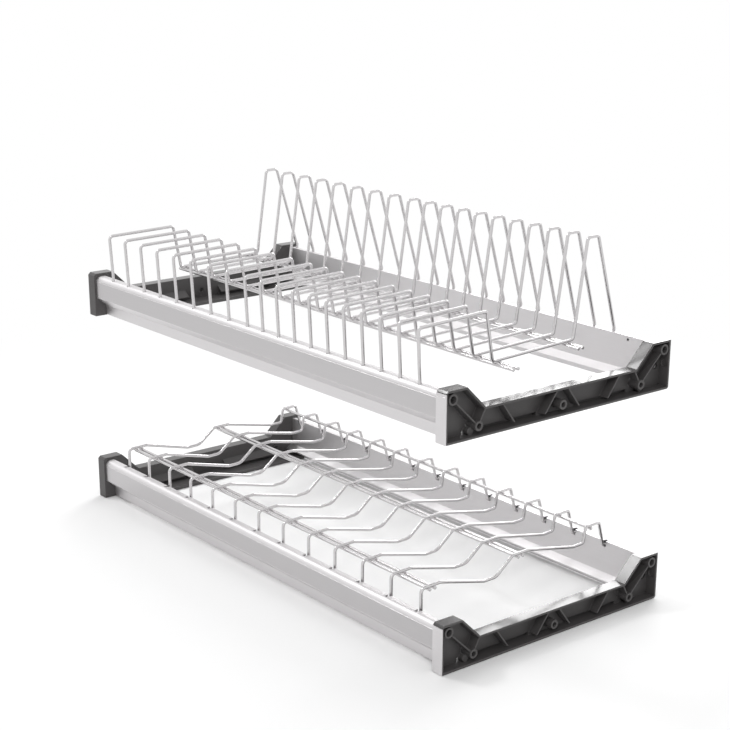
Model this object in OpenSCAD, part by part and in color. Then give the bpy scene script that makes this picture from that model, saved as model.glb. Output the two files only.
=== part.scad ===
// Two-tier dish rack for the inside of a wall cabinet.
// Each tier is two hollow aluminium rails held between two plastic side brackets,
// which are screwed to the cabinet's side panels. A welded wire basket for plates
// stands in drilled holes of the upper rails, and a wire basket for bowls sits in
// notches of the lower rails. Both baskets lift straight out.
// X runs along the cabinet's width, Y from its front to its back, Z up.

/* [Rack] */
// Clear width between the cabinet's side panels
rack_w = 564; // [464:1:764]
// Depth from the front of the brackets to their back
rack_d = 262.5; // [250:0.5:320]
// Height of the upper tier above the lower tier
tier_step = 201.4; // [190:0.2:320]

/* [Brackets] */
// Thickness of a bracket, from the cabinet's side to the rail's end
bracket_t = 12.5; // [11:0.5:16]
// Height of the end blocks that hold the rails
block_h = 44.8; // [43.6:0.1:50]
// Depth of an end block's flat top
block_len = 22.6; // [18:0.1:26]
// Height of the low bar between the end blocks
bar_h = 24.8; // [22:0.1:32]
// Depth of the slope from an end block down to the bar
slope_len = 20.4; // [14:0.1:26]
// Thickness of the bracket's inner web
web_t = 2; // [1.6:0.1:3]
// Thickness of the rim around the web
rim_t = 2; // [1.4:0.1:2.5]
// Thickness of the stiffening ribs
rib_t = 1.4; // [1:0.1:2.4]
// Distance of the ribs' edges below the rim
rib_drop = 1; // [0.2:0.1:3]
// Width of the drip flange that reaches inwards from a bracket's foot
flange_w = 26.5; // [16:0.5:30]
// Thickness of the drip flange
flange_t = 2; // [1.6:0.1:2.6]
// Size of the chamfer at the front top edge
front_chamfer = 2.4; // [1:0.1:4]
// Radius of the rear bottom corner
rear_corner_r = 2.5; // [1:0.1:4]
// Height of the grooves along the foot of the web
groove_h = 3; // [2:0.1:4]
// Distance of the grooves' inner ends from the bracket's middle
groove_near = 22; // [18:0.5:40]
// Distance of the grooves' outer ends from the bracket's middle
groove_far = 87; // [60:0.5:87]
// Reach of the tray lips over the inner grooves, from the web
lip_reach = 7; // [5:0.5:7]
// Height of the slope on a tray lip
lip_rise = 7; // [4:0.5:9]
// Height of the bead along the drip flange's edge, above the flange
bead_h = 1.4; // [0.6:0.1:2]
// Distance of the inner bar rib's foot from the bracket's middle
near_rib_foot = 22.4; // [20:0.1:30]
// Distance of the inner bar rib's top from the bracket's middle
near_rib_top = 6.2; // [0:0.1:12]
// Distance of the outer bar rib's foot from the bracket's middle
far_rib_foot = 52.6; // [44:0.1:60]
// Distance of the outer bar rib's top from the bracket's middle
far_rib_top = 68.6; // [62:0.1:76]
// Diameter of the hole through the web into the rail's lower hollow
web_hole_d = 6; // [3:0.1:6.4]
// Distance of the web hole from the bracket's front or back
web_hole_in = 7; // [6.6:0.1:7.4]
// Height of the web hole
web_hole_z = 20.2; // [18:0.1:22]
// Diameter of the blind hole in the rear rim
rim_hole_d = 6.4; // [3:0.1:7]
// Height of the blind hole
rim_hole_z = 22.4; // [18:0.1:26]
// Diameter of the round pad on the web, below the screw boss
pad_d = 7; // [5:0.1:8]
// Height of the round pad above the web
pad_h = 5; // [2:0.1:8]
// Distance of the pad from the screw boss's middle, towards the bracket's end
pad_out = 4.6; // [3:0.1:6]
// Height of the pad's middle
pad_z = 5; // [4.6:0.1:6]
// Side of the square hole beside the pad
notch_w = 2.8; // [1.6:0.1:3]
// Distance of the square hole's middle from the screw boss's middle
notch_out = 8.6; // [7.8:0.1:10]
// Width of the curved slit around the root of a screw boss
slit_w = 1.4; // [0.6:0.1:1.6]

/* [Cabinet screws] */
// Diameter of the holes for the cabinet screws
fix_d = 4.5; // [3.5:0.1:5]
// Diameter of the bosses around those holes
fix_boss_d = 8.6; // [7.6:0.1:9.4]
// Height of the holes above the tier's foot
fix_z = 9.75; // [8:0.05:12]
// Distance between the front hole and the rear hole
fix_spacing = 190.7; // [180:0.1:196]

/* [Rail screws] */
// Distance of a rail screw from the bracket's front or back
joint_in = 7.7; // [7.2:0.1:8.2]
// Height of a rail screw above the tier's foot
joint_z = 36.9; // [36:0.1:37.4]
// Diameter of the screw's shank
screw_d = 4; // [3:0.1:4.2]
// Diameter of the screw's head
head_d = 5.6; // [5.2:0.1:6.6]
// Height of the screw's head
head_h = 2.5; // [2:0.1:3]
// Length of the screw below its head
screw_len = 8; // [6:0.5:8]
// Diameter of the boss around the screw
joint_boss_d = 9.8; // [8.6:0.1:10.4]
// Thickness of the boss's floor under the screw's head
joint_floor = 4; // [3:0.1:5]
// Length of the plug in the rail's end that the screw bites into
plug_len = 4; // [3:0.5:4]

/* [Rails] */
// Setback of the rail's face from the bracket's front
rail_in = 2; // [1.2:0.1:2.4]
// Height of the rail's top above the tier's foot
rail_top = 42; // [41.5:0.1:43]
// Radius of the rail's rounded top edge
nose_r = 6; // [5.5:0.1:6.5]
// Depth of the rail's hollow box
box_len = 10; // [9.6:0.1:11]
// Height at which the rail's face ends
face_foot = 19.8; // [17:0.1:23]
// Wall thickness of the rail
rail_wall = 1.5; // [1.2:0.1:1.7]
// Height of the top of the shelf inside the rail
shelf_z = 31.6; // [30:0.1:32]
// Height of the top of the skirt, where the slanted underside ends
skirt_top = 10.4; // [9:0.1:12]
// Height of the skirt's lower edge
skirt_foot = 0.4; // [0.2:0.1:2]
// Height at which the inner wall starts to slope out
inner_knee = 18.5; // [16:0.1:20]
// Reach of the ledge's tip from the bracket's front
ledge_reach = 20.9; // [19:0.1:24]
// Height of the ledge's tip
ledge_z = 7; // [6:0.1:9]
// Height of the fine groove along the rail's face
groove_z = 37; // [34:0.1:37.5]
// Width of that groove
groove_w = 0.5; // [0.3:0.1:1]

/* [End cover] */
// Thickness of the cover plate on the front of a right bracket
cover_t = 1; // [0.8:0.1:1.2]
// Height of the cover plate
cover_h = 42.2; // [40:0.1:42.4]
// Diameter of the cover's pegs
peg_d = 2.4; // [2:0.1:2.8]
// Length of the cover's pegs
peg_len = 1.6; // [1:0.1:1.8]

/* [Wire] */
// Diameter of the basket wires
wire_d = 3; // [2.4:0.1:3.2]
// Radius of the usual bends, to the middle of the wire
bend_r = 4; // [3:0.1:5]
// Depth to which welded wires sink into each other
weld_in = 0.3; // [0.2:0.05:0.5]

/* [Plate basket] */
// Distance of a leg from the rack's front or back
leg_in = 6.5; // [6.4:0.1:6.8]
// Spacing of the wires for small plates, on the right
narrow_pitch = 24.26; // [20:0.02:26]
// Number of the wires for small plates
narrow_count = 10; // [4:1:10]
// Spacing of the wires for large plates, on the left
wide_pitch = 30.08; // [26:0.02:40]
// Distance of the last leg from the right end of the rail
plate_end_gap = 27.4; // [24:0.1:40]
// Least distance of the first leg from the left end of the rail
plate_start_gap = 28.3; // [28.3:0.1:40]
// Sideways step of each wire from its front leg to its rear leg
plate_step = 22.2; // [16:0.1:22.2]
// Height of the front rest
front_rest_z = 88; // [70:0.5:110]
// Forward lean of the front legs
front_lean = 2.5; // [0:0.1:4]
// Distance from the rack's front to the back of the front rest
front_rest_back = 84.2; // [60:0.1:90]
// Distance from the rack's front to the front of the plate seat
seat_front = 93; // [86:0.1:100]
// Height of the plate seat
seat_z = 43.6; // [43:0.1:54]
// Distance from the rack's back to the back of the plate seat
seat_back = 64.4; // [58:0.1:74]
// Height of the rear rest
rear_rest_z = 132.4; // [110:0.1:160]
// Distance from the rack's back to the front of the rear rest
rear_rest_front = 49.4; // [44:0.1:56]
// Distance from the rack's back to the back of the rear rest
rear_rest_back = 35; // [28:0.1:38]
// Distance from the plate seat's front end to the first runner
plate_runner_in = 2.4; // [2:0.1:10]
// Spacing of the two runners of a pair
runner_gap = 6; // [4:0.1:10]
// Overhang of the front runners past the last wire
front_runner_over = 24; // [4:0.5:24]
// Overhang of the rear runners past the last wire
rear_runner_over = 18; // [4:0.5:24]
// Overhang of the runners before the first wire
start_runner_over = 6; // [2:0.5:6]

/* [Bowl basket] */
// Spacing of the bowl wires
bowl_pitch = 39.75; // [30:0.25:50]
// Least distance of the outer bowl wires from the rail's ends
bowl_end_gap = 30; // [26:0.5:50]
// Sideways step of each wire from its front end to its rear end
bowl_step = 12.3; // [8:0.1:14]
// Gap between a leg and the rail's inner wall
leg_gap = 0.3; // [0.2:0.1:0.6]
// Height of the wire tips in the rail's notches
tip_z = 38; // [37.4:0.1:39]
// Length of a wire tip
tip_len = 6.2; // [5:0.1:6.4]
// Radius of the tip's bend
tip_r = 2.6; // [2.2:0.1:3]
// Height of the front hump
front_hump_z = 60.5; // [54:0.1:70]
// Distance from the rack's front to the back of the front hump
front_hump_back = 36.4; // [30:0.1:44]
// Distance from the rack's front to the front of the bowl seat
bowl_seat_front = 90; // [80:0.1:94]
// Distance from the rack's front to the back of the bowl seat
bowl_seat_back = 104.6; // [100:0.1:110]
// Height of the bowl seat
bowl_seat_z = 46.2; // [45:0.1:52]
// Distance from the rack's front to the front of the middle hump
mid_hump_front = 125; // [120:0.1:128]
// Distance from the rack's front to the back of the middle hump
mid_hump_back = 145.3; // [143:0.1:150]
// Height of the middle hump
mid_hump_z = 61; // [56:0.1:72]
// Distance from the rack's back to the front of the cup seat
cup_seat_front = 56.8; // [50:0.1:62]
// Distance from the rack's back to the back of the cup seat
cup_seat_back = 42.6; // [40:0.1:46]
// Height of the cup seat
cup_seat_z = 47.6; // [45:0.1:54]
// Height of the rear hump
rear_hump_z = 63.2; // [58:0.1:72]
// Distance from the rack's back to the front of the rear hump
rear_hump_front = 39.6; // [36:0.1:40]
// Distance from the rack's back to the back of the rear hump
rear_hump_back = 21.2; // [18:0.1:24]
// Overhang of the runners past the outer wires
bowl_runner_over = 2; // [1.6:0.1:10]

/* [Clearances] */
// Clearance around a leg in its hole or notch, on the diameter
leg_clear = 0.6; // [0.4:0.1:1]
// Gap under a leg or a tip
end_clear = 0.3; // [0.2:0.1:0.5]
// Clearance around a screw's shank in the bracket, on the diameter
shank_clear = 0.4; // [0.2:0.1:0.6]
// Clearance around a screw's head, on the diameter
head_clear = 0.5; // [0.4:0.1:1]
// Clearance around a plug in the rail
plug_clear = 0.15; // [0.1:0.05:0.3]
// Clearance around a screw's shank in the plug, on the diameter
bite_clear = 0.1; // [0.1:0.05:0.2]
// Clearance between the rail's skirt and the drip flange
flange_clear = 0.6; // [0.3:0.1:1.5]
// Clearance around the end cover
cover_clear = 0.3; // [0.2:0.1:0.5]

/* [Hidden] */
$fn = 48;
eps = 0.01;
bend_swell = 0.03;
bend_lap = 0.25;

// Colours as photographed
dark_plastic = [0.3, 0.29, 0.29];
satin_aluminium = [0.76, 0.76, 0.77];
bright_wire = [0.85, 0.85, 0.86];
zinc = [0.6, 0.6, 0.62];

// Half the rack's width and depth, and the rails between the brackets
half_w = rack_w / 2;
half_d = rack_d / 2;
rail_half = half_w - bracket_t;
rail_len = 2 * rail_half;

// Slope of the bracket's outline, as depth per height
slope_k = slope_len / (block_h - bar_h);
slope_in = rim_t * sqrt(1 + slope_k * slope_k);
slope_foot = block_len + slope_len;

// Step between a rail's inner wall and its skirt, and its fillet's drop underneath
skirt_step = 0.7;
skirt_drop = 0.2;

// Points of the rail's section, as distance from the bracket's front and height
nose_y = rail_in + nose_r;
nose_z = rail_top - nose_r;
wall_y = rail_in + box_len;
skirt_y = wall_y + skirt_step;
skirt_back = skirt_y + rail_wall;
under_k = (face_foot - skirt_top) / (skirt_y - rail_in);
under_lift = rail_wall * sqrt(1 + under_k * under_k);

// Places of the plate basket's wires along X, at their front legs
plate_last = rail_half - plate_end_gap;
narrow_first = plate_last - (narrow_count - 1) * narrow_pitch;
wide_last = narrow_first - narrow_pitch;
wide_count = 1 + floor((wide_last + rail_half - plate_start_gap) / wide_pitch);
wide_first = wide_last - (wide_count - 1) * wide_pitch;
narrow_xs = [for (i = [0 : narrow_count - 1]) narrow_first + i * narrow_pitch];
wide_xs = [for (i = [0 : wide_count - 1]) wide_first + i * wide_pitch];
plate_xs = concat(wide_xs, narrow_xs);

// Places of the bowl basket's wires along X, at their front ends
bowl_count = 1 + floor((rail_len - 2 * bowl_end_gap) / bowl_pitch);
bowl_xs = [for (i = [0 : bowl_count - 1]) (i - (bowl_count - 1) / 2) * bowl_pitch];

// Distance of the outer cabinet screws from the bracket's front or back, and the
// height of the foot of the recess and of the grooves
fix_in = half_d - fix_spacing / 2;
foot_t = max(rim_t, flange_t);

// How far a rib runs into the rim, the share of the rim's thickness that a blind
// hole takes, and the distance of a curved slit from its boss
rib_root = 0.5;
blind_part = 0.7;
slit_off = 0.1;

// Thickness of a tray lip's edge and of the walls around an outer groove, and how
// far the wall behind that groove stands in from the web
lip_wall = 1.2;
lip_back = 2.6;

// Depth of the leg holes' cut below the rail's top, and the small round hole near
// the top of the upper rear rail's inner wall
leg_hole_deep = 4;
rear_hole_d = 2.4;
rear_hole_drop = 3.4;

// Cross recess in a screw's head: length and width of an arm, and depth
cross_len = 3.4;
cross_w = 0.8;
cross_deep = 1.4;

// End cover: heights of the pegs, their clearance, and the drop of the groove
peg_low = 8;
peg_high = 26;
peg_clear = 0.1;
peg_x = rail_half + bracket_t / 2;
cover_groove_drop = 2.6;

// Places of the runners under the front, middle and rear humps of the bowl basket
// and of the rear pair under the plate basket, behind the nearest bend
bowl_front_in = 9;
bowl_middle_in = 6.2;
bowl_rear_in = 6;
plate_rear_in = 6;

// Angle at which the wires cross from front to back
bowl_leg_in = wall_y + leg_gap + wire_d / 2;
plate_angle = atan(plate_step / (rack_d - 2 * leg_in));
bowl_angle = atan(bowl_step / (rack_d - 2 * bowl_leg_in));

// Side view of a plate wire: distance from the rack's front, height, bend radius
plate_side = [
    [leg_in, shelf_z + end_clear, 0],
    [leg_in, rail_top + 2, 12],
    [leg_in - front_lean, front_rest_z, bend_r],
    [front_rest_back, front_rest_z, bend_r - 0.6],
    [seat_front, seat_z, bend_r - 0.6],
    [rack_d - seat_back, seat_z, bend_r],
    [rack_d - rear_rest_front, rear_rest_z, bend_r],
    [rack_d - rear_rest_back, rear_rest_z, bend_r],
    [rack_d - leg_in, rail_top + 2.2, 10],
    [rack_d - leg_in, shelf_z + end_clear, 0]
];

// Side view of a bowl wire, in the same form
bowl_side = [
    [bowl_leg_in - tip_len, tip_z, 0],
    [bowl_leg_in, tip_z, tip_r],
    [bowl_leg_in, front_hump_z, bend_r],
    [front_hump_back, front_hump_z, 8],
    [bowl_seat_front, bowl_seat_z, 10],
    [bowl_seat_back, bowl_seat_z, 12],
    [mid_hump_front, mid_hump_z, 6],
    [mid_hump_back, mid_hump_z, 6],
    [rack_d - cup_seat_front, cup_seat_z, 10],
    [rack_d - cup_seat_back, cup_seat_z, 3],
    [rack_d - rear_hump_front, rear_hump_z, 3],
    [rack_d - rear_hump_back, rear_hump_z, bend_r],
    [rack_d - bowl_leg_in, tip_z, tip_r],
    [rack_d - bowl_leg_in + tip_len, tip_z, 0]
];

// Height of a runner that hangs under wires of height z
function under(z) = z - wire_d + weld_in;

// Place along X of a wire that starts at x, where it passes distance y from the front
function passing(x, y, start, angle) = x - (y - start) * tan(angle);

// Side view stretched along the wire's own slanting plane
function slanted(side, start, angle) = [for (p = side) [(p[0] - start) / cos(angle), p[1]]];
function radii(side) = [for (p = side) p[2]];

// Direction of a stretch, turn at a corner, and what the corner's bend takes off it
function direction(a, b) = atan2(b[1] - a[1], b[0] - a[0]);
function wrapped(t) = t > 180 ? t - 360 : t < -180 ? t + 360 : t;
function turn(path, i) =
    wrapped(direction(path[i], path[i + 1]) - direction(path[i - 1], path[i]));
function trim(path, rs, i) =
    i == 0 || i == len(path) - 1 ? 0 : rs[i] * tan(abs(turn(path, i)) / 2);

// Round wire bent in one plane, through the corners of a path. A bend is a hair
// thicker than the straight stretches, and their ends reach a little way into it.
module bent_wire(path, rs) {
    last = len(path) - 1;
    for (i = [0 : last - 1]) {
        way = direction(path[i], path[i + 1]);
        from = i == 0 ? 0 : trim(path, rs, i) - bend_lap;
        to = norm(path[i + 1] - path[i])
            - (i == last - 1 ? 0 : trim(path, rs, i + 1) - bend_lap);
        translate(path[i])
            rotate([0, 0, way])
                translate([from, 0, 0])
                    rotate([0, 90, 0])
                        cylinder(h = to - from, d = wire_d);
    }
    for (i = [1 : last - 1]) {
        way = direction(path[i - 1], path[i]);
        bend = turn(path, i);
        side = sign(bend);
        back = trim(path, rs, i);
        centre = path[i] - back * [cos(way), sin(way)] + rs[i] * side * [-sin(way), cos(way)];
        translate([centre[0], centre[1], 0])
            rotate([0, 0, side > 0 ? way - 90 : way + 90 + bend])
                rotate_extrude(angle = abs(bend))
                    translate([rs[i], 0])
                        circle(d = wire_d + 2 * bend_swell);
    }
}

// Wires that cross the rack from front to back, one for each place in xs
module cross_wires(xs, side, start, angle) {
    for (x = xs)
        translate([x, start - half_d, 0])
            rotate([0, 0, angle])
                rotate([90, 0, 90])
                    bent_wire(slanted(side, start, angle), radii(side));
}

// Straight wire along the rack, from x_a to x_b, at distance y from the front
module runner(x_a, x_b, y, z) {
    translate([x_a, y - half_d, z])
        rotate([0, 90, 0])
            cylinder(h = x_b - x_a, d = wire_d);
}

// Puts things in the lower tier (level 0) or the upper tier (level 1)
module tier(level) {
    translate([0, 0, level * tier_step])
        children();
}

// Turns a side view, drawn as depth and height, into a slab from x_a to x_b
module slab(x_a, x_b) {
    translate([x_a, -half_d, 0])
        rotate([90, 0, 90])
            linear_extrude(height = x_b - x_a)
                children();
}

// Round bar along X in a bracket, from x_a to x_b
module bar_x(y, z, x_a, x_b, d) {
    translate([x_a, y - half_d, z])
        rotate([0, 90, 0])
            cylinder(h = x_b - x_a, d = d);
}

// Side view of a bracket
module bracket_outline() {
    difference() {
        polygon([
            [0, 0], [0, block_h - front_chamfer], [front_chamfer, block_h],
            [block_len, block_h], [slope_foot, bar_h],
            [rack_d - slope_foot, bar_h], [rack_d - block_len, block_h],
            [rack_d, block_h], [rack_d, 0]
        ]);
        difference() {
            translate([rack_d - rear_corner_r, -eps])
                square([rear_corner_r + eps, rear_corner_r + eps]);
            translate([rack_d - rear_corner_r, rear_corner_r])
                circle(r = rear_corner_r);
        }
    }
}

// Side view of the space inside a bracket's rim
module recess_outline() {
    top = block_h - rim_t;
    low = bar_h - rim_t;
    y_top = block_len + rim_t * slope_k - slope_in;
    y_low = y_top + (top - low) * slope_k;
    polygon([
        [rim_t, rim_t], [rim_t, top], [y_top, top], [y_low, low],
        [rack_d - y_low, low], [rack_d - y_top, top],
        [rack_d - rim_t, top], [rack_d - rim_t, rim_t]
    ]);
}

// Rib from one point to another, in the side view of a bracket
module rib_line(a, b) {
    translate(a)
        rotate(direction(a, b))
            translate([0, -rib_t / 2])
                square([norm(b - a), rib_t]);
}

// Both ends of something drawn for the front half of a side view
module both_ends() {
    for (s = [0, 1])
        translate([s * rack_d, 0])
            mirror([s, 0])
                children();
}

// All ribs in side view. The ribs of the low bar end above the grooves.
module ribs() {
    low = bar_h - rim_t;
    both_ends() {
        rib_line([joint_in, joint_z], [fix_in, fix_z]);
        rib_line([fix_in, fix_z], [slope_foot + rib_root, low + rib_root]);
        intersection() {
            union() {
                rib_line([half_d - far_rib_foot, rim_t], [half_d - far_rib_top, low + rib_root]);
                rib_line([half_d - near_rib_foot, rim_t], [half_d - near_rib_top, low + rib_root]);
            }
            translate([0, foot_t + groove_h])
                square([rack_d, bar_h]);
        }
    }
}

// Side view of the outer grooves at the foot of the web
module grooves() {
    both_ends()
        translate([half_d - groove_far, foot_t])
            square([groove_far - groove_near, groove_h]);
}

// Sloping lips on the inner side of the web, each over a groove for a tray's edge
// and with a wall that closes the outer groove
module tray_lips() {
    root = rail_half + web_t / 2;
    low = foot_t + groove_h;
    for (s = [0, 1])
        mirror([0, s, 0])
            translate([0, groove_far + lip_wall, 0])
                rotate([90, 0, 0])
                    linear_extrude(height = groove_far - groove_near + 2 * lip_wall)
                        polygon([
                            [root, flange_t / 2], [rail_half - lip_back, flange_t / 2],
                            [rail_half - lip_back, low], [rail_half - lip_reach, low],
                            [rail_half - lip_reach, low + lip_wall],
                            [rail_half, low + lip_rise], [root, low + lip_rise]
                        ]);
}

// Bracket for the right side. With a cover, its front is set back for the plate.
module bracket(covered) {
    floor_x = rail_half + web_t;
    joints = [joint_in, rack_d - joint_in];
    fixes = [fix_in, half_d, rack_d - fix_in];
    difference() {
        union() {
            difference() {
                slab(rail_half, half_w)
                    bracket_outline();
                slab(floor_x, half_w + 1)
                    recess_outline();
            }
            intersection() {
                slab(floor_x - eps, half_w - rib_drop)
                    ribs();
                slab(rail_half, half_w)
                    bracket_outline();
            }
            for (y = joints)
                bar_x(y, joint_z, rail_half, half_w, joint_boss_d);
            for (y = fixes)
                bar_x(y, fix_z, rail_half, half_w, fix_boss_d);
            foot_pad();
            drip_flange();
            tray_lips();
        }
        for (y = joints) {
            bar_x(y, joint_z, rail_half - 1, half_w + 1, screw_d + shank_clear);
            bar_x(y, joint_z, rail_half + joint_floor, half_w + 1, head_d + head_clear);
        }
        for (y = fixes)
            bar_x(y, fix_z, rail_half - 1, half_w + 1, fix_d);
        slab(rail_half - lip_back + lip_wall, floor_x)
            grooves();
        slab(rail_half - 1, floor_x)
            web_openings();
        rim_hole();
        if (covered)
            cover_seat();
    }
}

// Round pad at the foot of the web, below each outer cabinet-screw boss
module foot_pad() {
    floor_x = rail_half + web_t;
    for (y = [fix_in - pad_out, rack_d - fix_in + pad_out])
        bar_x(y, pad_z, floor_x - eps, floor_x + pad_h, pad_d);
}

// Side view of what is cut through the web at both ends: a hole into the rail's
// lower hollow, a square hole beside the pad, and a curved slit in front of the boss
module web_openings() {
    both_ends() {
        translate([web_hole_in, web_hole_z])
            circle(d = web_hole_d);
        translate([fix_in - notch_out - notch_w / 2, foot_t])
            square([notch_w, notch_w]);
    }
    for (y = [fix_in, rack_d - fix_in])
        translate([y, fix_z])
            intersection() {
                difference() {
                    circle(d = fix_boss_d + 2 * (slit_off + slit_w));
                    circle(d = fix_boss_d + 2 * slit_off);
                }
                polygon(concat([[0, 0]], [for (a = [110, 155, 200])
                    fix_boss_d * [cos(a), sin(a)]]));
            }
}

// Blind hole in the inner face of the rear rim
module rim_hole() {
    deep = rim_t * blind_part;
    translate([rail_half + (web_t + bracket_t) / 2, half_d - rim_t - 1, rim_hole_z])
        rotate([-90, 0, 0])
            cylinder(h = deep + 1, d = rim_hole_d);
}

// Flange along the foot of a bracket, with a bead along its edge, which leads
// drips back over the tray space
module drip_flange() {
    y_a = skirt_back + flange_clear;
    translate([rail_half - flange_w, y_a - half_d, 0]) {
        cube([flange_w + web_t / 2, rack_d - 2 * y_a, flange_t]);
        cube([flange_t, rack_d - 2 * y_a, flange_t + bead_h]);
    }
}

// Room for the cover plate and its pegs in the front of a bracket
module cover_seat() {
    translate([rail_half - 1, -half_d - 1, -1])
        cube([bracket_t + 2, cover_t + 1, cover_h + cover_clear + 1]);
    for (z = [peg_low, peg_high])
        translate([peg_x, -half_d, z])
            rotate([-90, 0, 0])
                cylinder(h = cover_t + rim_t + 1, d = peg_d + peg_clear);
}

// Cover plate with a fine groove near its top and two pegs on its back
module end_cover() {
    difference() {
        union() {
            translate([rail_half, -half_d, 0])
                cube([bracket_t - cover_clear, cover_t, cover_h]);
            for (z = [peg_low, peg_high])
                translate([peg_x, cover_t - eps - half_d, z])
                    rotate([-90, 0, 0])
                        cylinder(h = peg_len + eps, d = peg_d);
        }
        translate([rail_half - 1, -half_d - 1, cover_h - cover_groove_drop])
            cube([bracket_t + 2, 1 + cover_t / 3, groove_w]);
    }
}

// Section of a rail, as distance from the bracket's front and height
module rail_section() {
    difference() {
        polygon([
            [rail_in, face_foot], [rail_in, rail_top], [wall_y, rail_top],
            [wall_y, inner_knee], [skirt_back, skirt_top + rail_wall],
            [ledge_reach, ledge_z], [ledge_reach, ledge_z - rail_wall],
            [skirt_back, skirt_top - skirt_drop], [skirt_back, skirt_foot],
            [skirt_y, skirt_foot], [skirt_y, skirt_top]
        ]);
        nose_round(nose_r);
        cavity(0);
        polygon([
            [rail_in + rail_wall, face_foot - rail_wall * under_k + under_lift],
            [rail_in + rail_wall, shelf_z - rail_wall],
            [wall_y - rail_wall, shelf_z - rail_wall],
            [wall_y - rail_wall, face_foot - (box_len - rail_wall) * under_k + under_lift]
        ]);
        translate([rail_in - 1, groove_z - groove_w / 2])
            square([1 + groove_w, groove_w]);
    }
}

// What rounds off a square corner to radius r about the nose's centre
module nose_round(r) {
    difference() {
        translate([nose_y - r - eps, nose_z])
            square([r + eps, r + eps]);
        translate([nose_y, nose_z])
            circle(r = r);
    }
}

// Upper hollow of a rail's section, made smaller all round by inset
module cavity(inset) {
    edge = rail_wall + inset;
    difference() {
        translate([rail_in + edge, shelf_z + inset])
            square([box_len - 2 * edge, rail_top - edge - shelf_z - inset]);
        nose_round(nose_r - edge);
    }
}

// Rail with its section's face towards the front
module plain_rail() {
    slab(-rail_half, rail_half)
        rail_section();
}

// Upright holes for the plate basket's legs, in the front rail's top
module leg_holes(xs) {
    for (x = xs)
        translate([x, leg_in - half_d, rail_top - leg_hole_deep])
            cylinder(h = leg_hole_deep + 1, d = wire_d + leg_clear);
}

// Notches for the bowl basket's tips, open at the front rail's top
module tip_notches(xs) {
    w = wire_d + leg_clear;
    front = bowl_leg_in - tip_len - leg_clear / 2;
    floor_z = tip_z - wire_d / 2 - end_clear;
    for (x = xs)
        translate([x - w / 2, front - half_d, floor_z])
            cube([w, wall_y - front + 1, rail_top - floor_z + 1]);
}

// Places of the wires' rear ends, in the mirrored rear rail
plate_rear_xs = [for (x = plate_xs) x - plate_step];
bowl_rear_xs = [for (x = bowl_xs) x - bowl_step];

module upper_rear_rail_solid() {
    difference() {
        mirror([0, 1, 0])
            difference() {
                plain_rail();
                leg_holes(plate_rear_xs);
            }
        translate([plate_last, half_d - wall_y - 1, rail_top - rear_hole_drop])
            rotate([-90, 0, 0])
                cylinder(h = rail_wall + 2, d = rear_hole_d);
    }
}

// Plugs in the four rail ends of a tier, each with a bore for its screw
module rail_plugs() {
    for (sx = [0, 1], sy = [0, 1])
        mirror([sx, 0, 0])
            mirror([0, sy, 0])
                difference() {
                    slab(rail_half - plug_len, rail_half)
                        cavity(plug_clear);
                    bar_x(joint_in, joint_z, rail_half - plug_len - 1, rail_half + 1,
                        screw_d + bite_clear);
                }
}

// Screws in the four rail ends of a tier, with a cross recess in each head
module rail_screws() {
    head_x = rail_half + joint_floor;
    for (sx = [0, 1], sy = [0, 1])
        mirror([sx, 0, 0])
            mirror([0, sy, 0])
                difference() {
                    union() {
                        bar_x(joint_in, joint_z, head_x - screw_len, head_x + eps, screw_d);
                        bar_x(joint_in, joint_z, head_x, head_x + head_h, head_d);
                    }
                    translate([head_x + head_h - cross_deep, joint_in - half_d, joint_z])
                        for (a = [0, 90])
                            rotate([a, 0, 0])
                                translate([0, -cross_len / 2, -cross_w / 2])
                                    cube([cross_deep + 1, cross_len, cross_w]);
                }
}

// Pair of runners under the plate basket
module plate_runners(y, over) {
    for (d = [0, runner_gap])
        runner(
            passing(wide_first, y + d, leg_in, plate_angle) - start_runner_over,
            passing(plate_last, y + d, leg_in, plate_angle) + over,
            y + d, under(seat_z)
        );
}

// One runner under the bowl basket
module bowl_runner(y, z) {
    runner(
        passing(bowl_xs[0], y, bowl_leg_in, bowl_angle) - bowl_runner_over,
        passing(bowl_xs[bowl_count - 1], y, bowl_leg_in, bowl_angle) + bowl_runner_over,
        y, under(z)
    );
}

module lower_left_bracket() {
    color(dark_plastic) tier(0) mirror([1, 0, 0]) bracket(false);
}
module lower_right_bracket() {
    color(dark_plastic) tier(0) bracket(true);
}
module lower_right_end_cover() {
    color(satin_aluminium) tier(0) end_cover();
}
module lower_front_rail() {
    color(satin_aluminium) tier(0) difference() {
        plain_rail();
        tip_notches(bowl_xs);
    }
}
module lower_rear_rail() {
    color(satin_aluminium) tier(0) mirror([0, 1, 0]) difference() {
        plain_rail();
        tip_notches(bowl_rear_xs);
    }
}
module lower_rail_plugs() {
    color(dark_plastic) tier(0) rail_plugs();
}
module lower_rail_screws() {
    color(zinc) tier(0) rail_screws();
}
module upper_left_bracket() {
    color(dark_plastic) tier(1) mirror([1, 0, 0]) bracket(false);
}
module upper_right_bracket() {
    color(dark_plastic) tier(1) bracket(true);
}
module upper_right_end_cover() {
    color(satin_aluminium) tier(1) end_cover();
}
module upper_front_rail() {
    color(satin_aluminium) tier(1) difference() {
        plain_rail();
        leg_holes(plate_xs);
    }
}
module upper_rear_rail() {
    color(satin_aluminium) tier(1) upper_rear_rail_solid();
}
module upper_rail_plugs() {
    color(dark_plastic) tier(1) rail_plugs();
}
module upper_rail_screws() {
    color(zinc) tier(1) rail_screws();
}
module plate_basket_wide_wires() {
    color(bright_wire) tier(1) cross_wires(wide_xs, plate_side, leg_in, plate_angle);
}
module plate_basket_narrow_wires() {
    color(bright_wire) tier(1) cross_wires(narrow_xs, plate_side, leg_in, plate_angle);
}
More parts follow.
